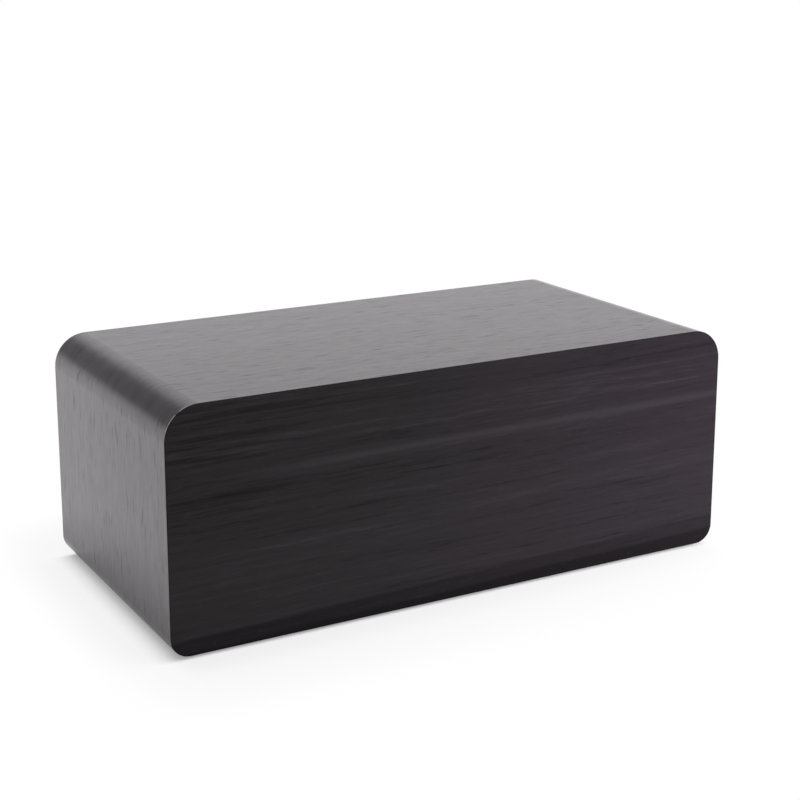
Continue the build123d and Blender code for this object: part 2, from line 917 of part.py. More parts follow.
def plunger(name):
    return rod(key_x[name], key_z, plunger_radius, y_switch_top - plunger_seat, y_plunger_top)


def key_shape(room):
    width = key_width + 2 * room
    height = key_height + 2 * room
    turn = 0 if width > height else 90
    return SlotOverall(max(width, height), min(width, height), rotation=turn)


def key_mark(name):
    if name == "set":
        return Circle(mark_size) - Circle(mark_size - mark_line)
    point = 1 if name == "up" else -1
    half = point * mark_size
    return Polygon((-half, -half), (half, -half), (0, half))


def key(name):
    x = key_x[name]
    y_face = y_cover_out + key_proud
    cap = slab(Pos(x, key_z) * key_shape(0), y_key_flange_in, y_face)
    rim = cap.faces().sort_by(Axis.Y)[-1].edges()
    cap = fillet(rim, key_ease)
    cap += slab(Pos(x, key_z) * key_shape(key_flange), y_key_flange_in, y_cover_in - key_play)
    cap += rod(x, key_z, key_stem_radius, y_plunger_top, y_key_flange_in)
    return cap + slab(Pos(x, key_z) * key_mark(name), y_face, y_face + mark_height)


# Parts on the control board

def usb_place():
    return Pos(key_x["set"] - usb_key_offset, control_bottom + usb_edge)


def usb_shell():
    outer = RectangleRounded(usb_width, usb_height, usb_corner_radius)
    walls = 2 * usb_wall
    inner = RectangleRounded(usb_width - walls, usb_height - walls, usb_corner_radius - usb_wall)
    return slab(usb_place() * (outer - inner), y_control_back, y_cover_out - usb_setback)


def usb_tongue():
    room = 2 * (usb_wall + usb_fit)
    base = RectangleRounded(usb_width - room, usb_height - room, usb_corner_radius - room / 2)
    y_base = y_control_back + usb_base_height
    y_tip = y_cover_out - usb_setback - usb_tongue_setback
    blade = slab(usb_place() * Rectangle(usb_tongue_width, usb_tongue_thickness), y_base, y_tip)
    return slab(usb_place() * base, y_control_back, y_base) + blade


def buzzer():
    x = key_x["down"] + buzzer_key_offset
    z = control_bottom + buzzer_edge
    y_top = y_control_back + buzzer_height
    can = rod(x, z, buzzer_radius, y_control_back, y_top)
    return can - rod(x, z, buzzer_hole_radius, y_top - buzzer_hole_depth, y_top)


def microphone():
    z = control_bottom + microphone_edge
    y_top = y_control_back + microphone_height
    can = rod(control_x, z, microphone_radius, y_control_back, y_top)
    return can - rod(control_x, z, microphone_radius - microphone_rim, y_top - microphone_rim, y_top)


def temperature_sensor():
    y_bead = y_control_back + sensor_leg_length
    sensor = Pos(control_x, y_bead, z_mid) * Sphere(sensor_bead_radius)
    for side in (-1, 1):
        x = control_x + side * sensor_leg_spacing / 2
        sensor += rod(x, z_mid, sensor_leg_radius, y_control_back, y_bead)
    return sensor


def filter_capacitor():
    x = control_x + control_half - capacitor_side
    z = control_bottom + capacitor_edge
    return rod(x, z, capacitor_radius, y_control_front - capacitor_height, y_control_front)


def regulator_chip():
    size = (small_chip_length, small_chip_width, small_chip_height, small_chip_lead_count)
    x = control_x + control_half - regulator_side
    return chip(x, control_bottom + regulator_edge, y_control_front, -1, *size)


nodes = {
    "case_body": case_body(),
    "wrap_veneer": wrap_veneer(),
    "front_sheet": front_sheet(),
    "feet": feet(),
    "diffuser_sheet": diffuser_sheet(),
    "light_mask": light_mask(),
    "display_board": display_board(),
    "segment_leds": segment_leds(),
    "clock_chip": clock_chip(),
    "clock_crystal": clock_crystal(),
    "display_resistors": display_resistors(),
    "display_screws": display_screws(),
    "display_header": display_header(),
    "control_header": control_header(),
    "ribbon_plugs": ribbon_plugs(),
    "ribbon_cable": ribbon_cable(),
    "rear_cover": rear_cover(),
    "battery_bay": battery_bay(),
    "cover_screws": cover_screws(),
    "battery_door": battery_door(),
    "battery_door_latch": battery_door_latch(),
    "battery_cells": battery_cells(),
    "battery_springs": battery_springs(),
    "contact_plates": contact_plates(),
    "red_lead": red_lead(),
    "black_lead": black_lead(),
    "control_board": control_board(),
    "control_screws": control_screws(),
    "switch_bodies": switch_bodies(),
    "usb_shell": usb_shell(),
    "usb_tongue": usb_tongue(),
    "buzzer": buzzer(),
    "microphone": microphone(),
    "temperature_sensor": temperature_sensor(),
    "filter_capacitor": filter_capacitor(),
    "regulator_chip": regulator_chip(),
}
for name in key_x:
    nodes[name + "_button"] = key(name)
    nodes[name + "_plunger"] = plunger(name)

os.makedirs("parts", exist_ok=True)
for name, shape in nodes.items():
    export_step(shape, os.path.join("parts", name + ".step"))
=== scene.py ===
import bpy
import bmesh
import math
from mathutils import Matrix, Vector


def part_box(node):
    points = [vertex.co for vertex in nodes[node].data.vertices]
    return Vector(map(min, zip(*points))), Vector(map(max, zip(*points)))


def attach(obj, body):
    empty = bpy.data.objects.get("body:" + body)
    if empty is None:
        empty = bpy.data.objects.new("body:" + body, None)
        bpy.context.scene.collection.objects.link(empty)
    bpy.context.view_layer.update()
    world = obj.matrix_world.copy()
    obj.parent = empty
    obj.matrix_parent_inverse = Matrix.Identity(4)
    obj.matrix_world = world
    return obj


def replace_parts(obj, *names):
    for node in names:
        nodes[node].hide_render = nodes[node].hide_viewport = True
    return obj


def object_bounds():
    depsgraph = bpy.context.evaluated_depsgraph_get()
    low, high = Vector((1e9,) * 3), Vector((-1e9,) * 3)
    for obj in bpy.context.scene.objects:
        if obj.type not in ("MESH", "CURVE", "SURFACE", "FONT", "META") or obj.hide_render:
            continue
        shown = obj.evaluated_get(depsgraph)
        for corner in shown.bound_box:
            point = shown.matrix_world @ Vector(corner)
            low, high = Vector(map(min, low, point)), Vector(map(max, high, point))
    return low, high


# Black wood-veneer desk clock on a white sweep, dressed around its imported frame
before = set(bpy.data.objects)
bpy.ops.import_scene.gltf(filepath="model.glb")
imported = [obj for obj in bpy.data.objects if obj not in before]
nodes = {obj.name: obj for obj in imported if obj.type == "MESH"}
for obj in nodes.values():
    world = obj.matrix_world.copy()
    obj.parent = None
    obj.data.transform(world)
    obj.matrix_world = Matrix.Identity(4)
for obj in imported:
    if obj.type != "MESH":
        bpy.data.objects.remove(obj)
cadLow, cadHigh = [corner.copy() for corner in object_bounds()]
mm = 0.001
print("frame loaded:", len(nodes), "nodes")


# Shader helpers

noiseMiddle = 0.5
noiseSpread = (0.3, 0.7)            # a noise seldom leaves these values
noiseRoughness = 0.55


def plugIn(tree, node, terms):
    # Each term is a plain value for its socket, or another node's output to link to it
    for socket, term in terms.items():
        if isinstance(term, bpy.types.NodeSocket):
            tree.links.new(term, node.inputs[socket])
        else:
            node.inputs[socket].default_value = term


def addNode(tree, kind, terms=None, **settings):
    node = tree.nodes.new(kind)
    for name, value in settings.items():
        setattr(node, name, value)
    plugIn(tree, node, terms or {})
    return node


def calc(tree, operation, *terms):
    return addNode(tree, "ShaderNodeMath", dict(enumerate(terms)), operation=operation).outputs[0]


def product(tree, first, *others):
    for other in others:
        first = calc(tree, "MULTIPLY", first, other)
    return first


def weighted(tree, sources, weights):
    total = 0.0
    for source, weight in zip(sources, weights):
        total = calc(tree, "MULTIPLY_ADD", source, weight, total)
    return total


def sway(tree, base, noise, amount):
    # Moves the base by a noise's distance from its middle
    return calc(tree, "MULTIPLY_ADD", calc(tree, "SUBTRACT", noise, noiseMiddle), amount, base)


def remap(tree, value, low, high, outLow=0.0, outHigh=1.0):
    terms = {"Value": value, "From Min": low, "From Max": high, "To Min": outLow, "To Max": outHigh}
    return addNode(tree, "ShaderNodeMapRange", terms, interpolation_type="SMOOTHSTEP").outputs["Result"]


def blendColour(tree, mask, first, second):
    # A colour mix has its factor, its two colours and its result at these places
    return addNode(tree, "ShaderNodeMix", {0: mask, 6: first, 7: second}, data_type="RGBA").outputs[2]


def placeMm(tree):
    # Object coordinates in millimetres, as separate x, y and z
    coords = addNode(tree, "ShaderNodeTexCoord").outputs["Object"]
    scaled = addNode(tree, "ShaderNodeVectorMath", {0: coords, "Scale": 1 / mm}, operation="SCALE")
    split = addNode(tree, "ShaderNodeSeparateXYZ", {0: scaled.outputs[0]})
    return split.outputs[0], split.outputs[1], split.outputs[2]


def noiseAt(tree, along, across, seed, alongScale, acrossScale, detail):
    stretched = addNode(tree, "ShaderNodeCombineXYZ", {
        0: calc(tree, "MULTIPLY", along, alongScale),
        1: calc(tree, "MULTIPLY", across, acrossScale),
        2: seed,
    })
    return addNode(tree, "ShaderNodeTexNoise", {
        "Vector": stretched.outputs[0], "Scale": 1.0, "Detail": detail, "Roughness": noiseRoughness,
    }).outputs[0]


def newGroup(name, inputs, outputs):
    group = bpy.data.node_groups.new(name, "ShaderNodeTree")
    for socket, value in inputs.items():
        made = group.interface.new_socket(socket, in_out="INPUT", socket_type="NodeSocketFloat")
        made.default_value = value
    for socket in outputs:
        group.interface.new_socket(socket, in_out="OUTPUT", socket_type="NodeSocketFloat")
    return group, addNode(group, "NodeGroupInput").outputs, addNode(group, "NodeGroupOutput").inputs


def useGroup(tree, group, terms):
    return addNode(tree, "ShaderNodeGroup", terms, node_tree=group).outputs


def bumpFrom(tree, height, depthMm):
    return addNode(tree, "ShaderNodeBump", {"Height": height, "Distance": depthMm * mm}).outputs[0]


# Effects that several finishes share

woodLook = {
    # repeats per millimetre along and across the grain, then detail
    "wander": (0.022, 0.08, 1.0),
    "figures": {
        "Bands": (0.003, 0.2, 3.0),
        "Streaks": (0.011, 1.1, 4.0),
        "Flecks": (0.19, 0.95, 3.0),
        "Fibre": (0.05, 3.4, 2.0),
        "Pores": (0.13, 1.25, 1.0),
    },
    "poreLimits": (0.62, 0.72),     # only the peaks of their noise are pores
}
textureLook = {
    "grains": 3.0, "grainDetail": 2.0, "grainRoughness": 0.6,
    "mottles": 0.09, "mottleDetail": 3.0,
}


def makeWoodGrain(look):
    # The figure of an open-grained veneer, from millimetres along and across the grain
    inputs = {"Along": 0.0, "Across": 0.0, "Seed": 0.0, "Wander": 1.0}
    tree, given, made = newGroup("woodGrain", inputs, look["figures"])
    along, across, seed = given["Along"], given["Across"], given["Seed"]
    line = sway(tree, across, noiseAt(tree, along, across, seed, *look["wander"]), given["Wander"])
    for name, scales in look["figures"].items():
        figure = noiseAt(tree, along, line, seed, *scales)
        if name == "Pores":
            figure = remap(tree, figure, *look["poreLimits"])
        tree.links.new(figure, made[name])
    return tree


def makeFineTexture(look):
    # Even grain of a moulded or sprayed surface, with grains and mottles counted per millimetre
    tree, given, made = newGroup("fineTexture", {"Grains": look["grains"]}, ["Grain", "Mottle"])
    coords = addNode(tree, "ShaderNodeTexCoord").outputs["Object"]
    grain = addNode(tree, "ShaderNodeTexNoise", {
        "Vector": coords, "Scale": calc(tree, "MULTIPLY", given["Grains"], 1 / mm),
        "Detail": look["grainDetail"], "Roughness": look["grainRoughness"],
    })
    mottle = addNode(tree, "ShaderNodeTexNoise", {
        "Vector": coords, "Scale": look["mottles"] / mm, "Detail": look["mottleDetail"],
    })
    tree.links.new(grain.outputs[0], made["Grain"])
    tree.links.new(mottle.outputs[0], made["Mottle"])
    return tree


woodGrain = makeWoodGrain(woodLook)
fineTexture = makeFineTexture(textureLook)


def newMaterial(name):
    material = bpy.data.materials.new(name)
    material.use_nodes = True
    tree = material.node_tree
    return material, tree, tree.nodes["Principled BSDF"]


def dress(material, *names):
    for name in names:
        for slot in nodes[name].material_slots:
            slot.material = material


# Wood veneers

blockLow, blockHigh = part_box("wrap_veneer")
blockEnds = (blockLow.x / mm, blockHigh.x / mm)


def reliefOf(tree, grain, look):
    height = weighted(tree, (grain["Streaks"], grain["Fibre"], grain["Pores"]), look["relief"])
    return bumpFrom(tree, height, look["grainDepth"])


wrapLook = {
    "dark": (0.011, 0.0098, 0.011, 1), "pale": (0.042, 0.0375, 0.0415, 1),
    "seed": 3.0, "wander": 1.5,
    "toneWeights": (0.5, 0.5),                          # bands and streaks
    "poreTone": 0.6,
    "grainDepth": 0.02, "relief": (0.08, 0.3, -0.25),   # millimetres, and weights of streaks, fibre and pores
    "roughness": (0.17, 0.25), "specular": 0.15,
    "lacquer": (0.49, 0.61), "lacquerInPores": -0.38,
    "lacquerSway": {"Streaks": 0.1, "Bands": 0.3},      # against the flecks
    "lacquerIor": 1.8, "lacquerRoughness": 0.18, "lacquerTint": (1.0, 0.88, 0.97, 1),
}


def wrapVeneer(look):
    # The grain runs round the block: along x on the top, down the sides, with y across it
    material, tree, shader = newMaterial("blackWoodWrap")
    x, y, z = placeMm(tree)
    drop = calc(tree, "SUBTRACT", blockHigh.z / mm, z)
    along = calc(tree, "MULTIPLY_ADD", calc(tree, "SIGN", x), drop, x)
    grain = useGroup(tree, woodGrain, {
        "Along": along, "Across": y, "Seed": look["seed"], "Wander": look["wander"],
    })
    tone = weighted(tree, (grain["Bands"], grain["Streaks"]), look["toneWeights"])
    colour = blendColour(tree, remap(tree, tone, *noiseSpread), look["dark"], look["pale"])
    colour = blendColour(tree, product(tree, grain["Pores"], look["poreTone"]), colour, look["dark"])
    cover = grain["Flecks"]
    for name, amount in look["lacquerSway"].items():
        cover = sway(tree, cover, grain[name], amount)
    lacquer = remap(tree, cover, *noiseSpread, *look["lacquer"])
    plugIn(tree, shader, {
        "Base Color": colour,
        "Normal": reliefOf(tree, grain, look),
        "Roughness": remap(tree, grain["Fibre"], *noiseSpread, *look["roughness"]),
        "Specular IOR Level": look["specular"],
        "Coat Weight": calc(tree, "MULTIPLY_ADD", grain["Pores"], look["lacquerInPores"], lacquer),
        "Coat IOR": look["lacquerIor"],
        "Coat Roughness": look["lacquerRoughness"],
        "Coat Tint": look["lacquerTint"],
    })
    return material


frontLook = {
    "dark": (0.0045, 0.0041, 0.0043, 1), "pale": (0.032, 0.028, 0.0325, 1),
    # painted light: the mid tone is darker on the left and slightly paler and purpler on the right, as if lit
    # from the right
    "midShadedLeft": (0.0158, 0.0146, 0.0146, 1), "midLitRight": (0.0182, 0.0142, 0.0186, 1),
    "seed": 11.0, "wander": 0.5,
    "shorter": 2.8, "broader": 0.8,                         # the figure against the wrap's, along and across
    "tilt": 0.006,                                          # the grain rises to the right
    "toneWeights": (0.45, 0.55), "fibre": 0.35,             # bands and streaks, then fibre
    "darkTo": (0.18, 0.5), "paleFrom": (0.5, 0.82),         # limits in tone
    # painted light: the mid tone is paler towards the foot, more so on the right, lifting the shade near the
    # floor
    "paintedLightBelow": (52.0, 4.0), "paintedLightEnds": (0.2, 0.36),    # paler towards the foot, more so on the right
    "poreTone": 0.15,
    "grainDepth": 0.03, "relief": (0.5, 0.7, -0.5),
    "roughness": (0.46, 0.56), "specular": 0.05,
    "waviness": 0.9,                                        # of the lines and bands below, in millimetres
    # height, half width, strength, and where along x the line fades in
    "paleLines": ((39.7, 1.6, 0.6, -72.0, -35.0), (50.0, 0.45, 0.3, 5.0, 45.0)),
    "lineCore": 0.05, "lineFaint": 0.1,                     # half width of its core, share before the fade
    # lower and upper limit of dark streaks, where along x they are full and where they end
    "darkStreaks": ((42.5, 51.0, -72.0, -25.0), (51.5, 57.5, -76.0, 10.0), (34.5, 37.5, -72.0, -30.0),
                    (51.0, 54.0, 70.0, 15.0)),
    "streakSoft": 2.0, "streakLimits": (0.54, 0.42), "streakStrength": 0.55,
    # height and softness of the dark lower bands, and their strength at the left and right ends
    "lowBands": ((5.5, 1.1, 0.58, 0.34), (2.5, 0.9, 0.55, 0.6)),
    "lowTone": (0.0046, 0.0036, 0.0047, 1), "lowTilt": 0.0165, "lowWander": 3.0,
    "edge": (0.03, 0.028, 0.028, 1), "edgeFrom": (0.1, 0.35),   # millimetres behind the front face
    "edgeIor": 1.5, "edgeRoughness": 0.2,
    # pale wear with a painted highlight along the edge of the upper corners
    "wearAndHighlight": (0.34, 0.33, 0.33, 1), "wearAndHighlightFrom": (-8.0, -4.0),    # distances from the block's outer faces
    "wearAndHighlightFlecks": (0.38, 0.56), "wearAndHighlightLeast": 0.15,
}


def frontWood(tree, grain, look, x, up):
    tone = weighted(tree, (grain["Bands"], grain["Streaks"]), look["toneWeights"])
    tone = sway(tree, tone, grain["Fibre"], look["fibre"])
    # Painted light from the right: the mid tone goes from a shaded left to a lit right
    mid = blendColour(tree, remap(tree, x, *blockEnds), look["midShadedLeft"], look["midLitRight"])
    # Painted light: paler towards the foot, more so on the right
    lower = remap(tree, up, *look["paintedLightBelow"])
    paler = product(tree, lower, remap(tree, x, *blockEnds, *look["paintedLightEnds"]))
    mid = blendColour(tree, paler, mid, look["pale"])
    colour = blendColour(tree, remap(tree, tone, *look["darkTo"]), look["dark"], mid)
    return blendColour(tree, remap(tree, tone, *look["paleFrom"]), colour, look["pale"])


def addPaleLines(tree, look, colour, x, wavy):
    for height, half, strength, fadeFrom, fadeTo in look["paleLines"]:
        away = calc(tree, "ABSOLUTE", calc(tree, "SUBTRACT", wavy, height))
        fade = remap(tree, x, fadeFrom, fadeTo, look["lineFaint"], 1.0)
        line = product(tree, remap(tree, away, half, look["lineCore"]), fade, strength)
        colour = blendColour(tree, line, colour, look["pale"])
    return colour


def addDarkStreaks(tree, grain, look, colour, x, across):
    soft = look["streakSoft"]
    for low, high, full, end in look["darkStreaks"]:
        streaks = product(
            tree, remap(tree, across, low, low + soft), remap(tree, across, high, high - soft),
            remap(tree, x, end, full),
            remap(tree, grain["Streaks"], *look["streakLimits"], 0.0, look["streakStrength"]),
        )
        colour = blendColour(tree, streaks, colour, look["dark"])
    return colour


def addLowBands(tree, grain, look, colour, x, wavy):
    uneven = sway(tree, wavy, grain["Bands"], look["lowWander"])
    uneven = calc(tree, "MULTIPLY_ADD", x, -look["lowTilt"], uneven)
    for height, soft, leftStrength, rightStrength in look["lowBands"]:
        below = remap(tree, uneven, height + soft / 2, height - soft / 2)
        band = product(tree, below, remap(tree, x, *blockEnds, leftStrength, rightStrength))
        colour = blendColour(tree, band, colour, look["lowTone"])
    return colour


def addWearAndHighlightCorners(tree, grain, look, colour, x, z, onEdge):
    # Pale wear flecks with a painted highlight, only on the edge of the upper corners, the further round the
    # more
    aside = calc(tree, "SUBTRACT", calc(tree, "ABSOLUTE", x), blockHigh.x / mm)
    above = calc(tree, "SUBTRACT", z, blockHigh.z / mm)
    wearAndHighlight = product(
        tree, remap(tree, aside, *look["wearAndHighlightFrom"]), remap(tree, above, *look["wearAndHighlightFrom"]),
        remap(tree, grain["Flecks"], *look["wearAndHighlightFlecks"], look["wearAndHighlightLeast"], 1.0), onEdge,
    )
    return blendColour(tree, wearAndHighlight, colour, look["wearAndHighlight"])


def frontVeneer(look):
    material, tree, shader = newMaterial("blackWoodFront")
    x, y, z = placeMm(tree)
    up = calc(tree, "SUBTRACT", z, blockLow.z / mm)
    across = calc(tree, "MULTIPLY_ADD", x, -look["tilt"], up)
    grain = useGroup(tree, woodGrain, {
        "Along": calc(tree, "MULTIPLY", x, look["shorter"]),
        "Across": calc(tree, "MULTIPLY", across, look["broader"]),
        "Seed": look["seed"], "Wander": look["wander"],
    })
    wavy = sway(tree, across, grain["Streaks"], look["waviness"])
    colour = frontWood(tree, grain, look, x, up)
    colour = addPaleLines(tree, look, colour, x, wavy)
    colour = addDarkStreaks(tree, grain, look, colour, x, across)
    colour = addLowBands(tree, grain, look, colour, x, wavy)
    colour = blendColour(tree, product(tree, grain["Pores"], look["poreTone"]), colour, look["pale"])
    onEdge = remap(tree, y, *[cadLow.y / mm + behind for behind in look["edgeFrom"]])
    colour = blendColour(tree, product(tree, onEdge, grain["Fibre"]), colour, look["edge"])
    plugIn(tree, shader, {
        "Base Color": addWearAndHighlightCorners(tree, grain, look, colour, x, z, onEdge),
        "Normal": reliefOf(tree, grain, look),
        "Roughness": remap(tree, grain["Streaks"], *noiseSpread, *look["roughness"]),
        "Specular IOR Level": look["specular"],
        "Coat Weight": onEdge,
        "Coat IOR": look["edgeIor"],
        "Coat Roughness": look["edgeRoughness"],
    })
    return material


dress(wrapVeneer(wrapLook), "wrap_veneer")
dress(frontVeneer(frontLook), "front_sheet")
print("veneers dressed")


# Plain mouldings, sprays and pads: one even grain each, with its own depth and sheen

grainedTone = {"weights": (0.5, 0.5), "limits": (0.35, 0.65)}      # grain and mottle
grainedLooks = {
    "fibreboard": {"grains": 1.6, "depth": 0.05, "roughness": (0.68, 0.85),
                   "dark": (0.008, 0.0078, 0.0076, 1), "pale": (0.022, 0.021, 0.020, 1)},
    "rubberPad": {"grains": 2.2, "depth": 0.03, "roughness": (0.78, 0.92),
                  "dark": (0.018, 0.018, 0.018, 1), "pale": (0.034, 0.034, 0.034, 1)},
    "blackMoulding": {"grains": 2.6, "depth": 0.022, "roughness": (0.46, 0.6),
                      "dark": (0.012, 0.012, 0.0125, 1), "pale": (0.022, 0.022, 0.023, 1)},
    "chipResin": {"grains": 4.0, "depth": 0.01, "roughness": (0.5, 0.65),
                  "dark": (0.012, 0.012, 0.012, 1), "pale": (0.024, 0.024, 0.024, 1)},
    "whiteNylon": {"grains": 1.5, "depth": 0.008, "roughness": (0.4, 0.55),
                   "dark": (0.66, 0.63, 0.56, 1), "pale": (0.78, 0.76, 0.7, 1)},
    "milkyFilm": {"grains": 1.0, "depth": 0.004, "roughness": (0.45, 0.6),
                  "dark": (0.72, 0.72, 0.69, 1), "pale": (0.82, 0.82, 0.8, 1)},
    "lampResin": {"grains": 3.0, "depth": 0.006, "roughness": (0.2, 0.35),
                  "dark": (0.75, 0.62, 0.24, 1), "pale": (0.86, 0.82, 0.62, 1)},
    "redInsulation": {"grains": 1.2, "depth": 0.006, "roughness": (0.36, 0.5),
                      "dark": (0.36, 0.014, 0.012, 1), "pale": (0.5, 0.025, 0.02, 1)},
    "blackInsulation": {"grains": 1.2, "depth": 0.006, "roughness": (0.36, 0.5),
                        "dark": (0.012, 0.012, 0.012, 1), "pale": (0.024, 0.024, 0.024, 1)},
    "blackZinc": {"grains": 3.0, "depth": 0.008, "roughness": (0.34, 0.5), "metallic": 0.8,
                  "dark": (0.045, 0.044, 0.043, 1), "pale": (0.085, 0.083, 0.08, 1)},
    "cellSleeve": {"grains": 0.8, "depth": 0.003, "roughness": (0.2, 0.32),
                   "dark": (0.03, 0.031, 0.034, 1), "pale": (0.045, 0.046, 0.05, 1)},
    "cellBand": {"grains": 0.8, "depth": 0.003, "roughness": (0.22, 0.34), "metallic": 0.6,
                 "dark": (0.3, 0.3, 0.31, 1), "pale": (0.42, 0.42, 0.43, 1)},
    "nickelPlate": {"grains": 1.4, "depth": 0.004, "roughness": (0.2, 0.36), "metallic": 1.0,
                    "dark": (0.56, 0.54, 0.51, 1), "pale": (0.7, 0.68, 0.65, 1)},
}
grainedNodes = {
    "fibreboard": ["case_body"],
    "rubberPad": ["feet"],
    "blackMoulding": ["light_mask", "rear_cover", "battery_bay", "battery_door", "battery_door_latch",
                      "usb_tongue", "switch_bodies", "set_plunger", "up_plunger", "down_plunger", "buzzer"],
    "chipResin": ["clock_chip", "regulator_chip", "display_resistors", "temperature_sensor"],
    "whiteNylon": ["display_header", "control_header", "ribbon_plugs"],
    "milkyFilm": ["diffuser_sheet"],
    "lampResin": ["segment_leds"],
    "redInsulation": ["red_lead"],
    "blackInsulation": ["black_lead"],
    "blackZinc": ["display_screws", "cover_screws", "control_screws"],
    "nickelPlate": ["clock_crystal", "usb_shell", "microphone", "filter_capacitor", "battery_springs",
                    "contact_plates"],
}


def grainedFinish(name, look):
    material, tree, shader = newMaterial(name)
    texture = useGroup(tree, fineTexture, {"Grains": look["grains"]})
    tone = weighted(tree, (texture["Grain"], texture["Mottle"]), grainedTone["weights"])
    tone = remap(tree, tone, *grainedTone["limits"])
    plugIn(tree, shader, {
        "Base Color": blendColour(tree, tone, look["dark"], look["pale"]),
        "Normal": bumpFrom(tree, texture["Grain"], look["depth"]),
        "Roughness": remap(tree, texture["Mottle"], *noiseSpread, *look["roughness"]),
        "Metallic": look.get("metallic", 0.0),
    })
    return material


finishes = {name: grainedFinish(name, look) for name, look in grainedLooks.items()}
for name, dressed in grainedNodes.items():
    dress(finishes[name], *dressed)
print("plain finishes dressed:", len(finishes))


# Keys, with their raised marks painted

keyLook = {
    "grains": 3.0, "depth": 0.01, "roughness": (0.36, 0.48),
    "dark": (0.022, 0.022, 0.023, 1), "pale": (0.034, 0.034, 0.036, 1),
    "markPaint": (0.5, 0.5, 0.49, 1), "markFrom": (0.16, 0.08),     # millimetres below the top of the mark
}


def keyPlastic(look):
    material = grainedFinish("keyPlastic", look)
    tree = material.node_tree
    shader = tree.nodes["Principled BSDF"]
    moulded = shader.inputs["Base Color"].links[0].from_socket
    y = placeMm(tree)[1]
    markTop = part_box("set_button")[1].y / mm
    isMark = remap(tree, y, *[markTop - below for below in look["markFrom"]])
    plugIn(tree, shader, {"Base Color": blendColour(tree, isMark, moulded, look["markPaint"])})
    return material


dress(keyPlastic(keyLook), "set_button", "up_button", "down_button")


# Circuit boards: green mask with traces under it, and bare edges

boardLook = {
    "mask": (0.012, 0.085, 0.035, 1), "trace": (0.03, 0.16, 0.07, 1), "edge": (0.34, 0.3, 0.17, 1),
    "traceEvery": 2.4, "traceWidth": 0.5, "traceRise": 0.03,    # millimetres
    "bends": (5.0, 0.12, 0.12, 0.0), "bendReach": 14.0,         # seed, repeats per millimetre and detail
    "edgeFacing": 0.5, "roughness": (0.28, 0.42),
}


def circuitBoard(look):
    material, tree, shader = newMaterial("circuitBoard")
    x, _, z = placeMm(tree)
    bend = noiseAt(tree, x, z, *look["bends"])
    level = calc(tree, "MULTIPLY_ADD", bend, look["bendReach"], z)
    row = calc(tree, "FRACT", calc(tree, "DIVIDE", level, look["traceEvery"]))
    isTrace = calc(tree, "LESS_THAN", row, look["traceWidth"] / look["traceEvery"])
    colour = blendColour(tree, isTrace, look["mask"], look["trace"])
    facing = addNode(tree, "ShaderNodeTexCoord").outputs["Normal"]
    facingY = addNode(tree, "ShaderNodeSeparateXYZ", {0: facing}).outputs[1]
    isEdge = calc(tree, "LESS_THAN", calc(tree, "ABSOLUTE", facingY), look["edgeFacing"])
    plugIn(tree, shader, {
        "Base Color": blendColour(tree, isEdge, colour, look["edge"]),
        "Normal": bumpFrom(tree, isTrace, look["traceRise"]),
        "Roughness": remap(tree, bend, *noiseSpread, *look["roughness"]),
    })
    return material


dress(circuitBoard(boardLook), "display_board", "control_board")


# Flat ribbon, with grooves between its wires and the first wire marked

ribbonLook = {
    # the groove colour is painted shade in the grooves between the wires
    "grey": (0.34, 0.34, 0.34, 1), "groove": (0.2, 0.2, 0.2, 1), "mark": (0.4, 0.02, 0.02, 1),
    "wires": 8, "grooveFrom": 0.3, "grooveDepth": 0.3,      # share of a wire from its middle, and millimetres
    "roughness": (0.45, 0.6),
}


def flatRibbon(look):
    material, tree, shader = newMaterial("greyRibbon")
    x = placeMm(tree)[0]
    low, high = [corner.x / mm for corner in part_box("ribbon_cable")]
    wire = calc(tree, "MULTIPLY", remap(tree, x, low, high), look["wires"])
    halfWire = 0.5
    offMiddle = calc(tree, "ABSOLUTE", calc(tree, "SUBTRACT", calc(tree, "FRACT", wire), halfWire))
    # Painted shade: the grooves between the wires are darker
    inGrooveShade = remap(tree, offMiddle, look["grooveFrom"], halfWire)
    colour = blendColour(tree, inGrooveShade, look["grey"], look["groove"])
    isFirst = calc(tree, "LESS_THAN", wire, 1.0)
    plugIn(tree, shader, {
        "Base Color": blendColour(tree, isFirst, colour, look["mark"]),
        "Normal": bumpFrom(tree, offMiddle, -look["grooveDepth"]),
        "Roughness": remap(tree, offMiddle, 0.0, halfWire, *look["roughness"]),
    })
    return material


dress(flatRibbon(ribbonLook), "ribbon_cable")
print("keys, boards and ribbon dressed")


# Piece helpers

def meshFrom(shape, name):
    mesh = bpy.data.meshes.new(name)
    shape.to_mesh(mesh)
    shape.free()
    return mesh


def addObject(name, data):
    made = bpy.data.objects.new(name, data)
    bpy.context.scene.collection.objects.link(made)
    return made


# Cells with plain sleeves between plated ends, in place of the plain solids

cellLook = {
    "sides": 48, "sharpAngle": 35.0,
    "finishes": ("cellSleeve", "cellBand", "nickelPlate"),
    "sleeveRadius": 4.7, "bandFrom": 31.0,              # the profile has a point where the band starts
    # distance from the flat end and radius, in millimetres
    "profile": ((0.0, 0.0), (0.0, 3.9), (0.25, 4.3), (0.3, 4.75), (0.05, 4.95), (0.35, 5.2), (31.0, 5.2),
                (43.0, 5.2), (43.4, 4.95), (43.2, 4.65), (43.2, 2.3), (43.4, 1.95), (44.3, 1.85),
                (44.5, 1.5), (44.5, 0.0)),
}
cellsLow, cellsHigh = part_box("battery_cells")
cellRadius = (cellsHigh.y - cellsLow.y) / 2
cellRows = [cellsLow.z + cellRadius, (cellsLow.z + cellsHigh.z) / 2, cellsHigh.z - cellRadius]
turned = [True, False, True]                            # these have their button end on the low x side


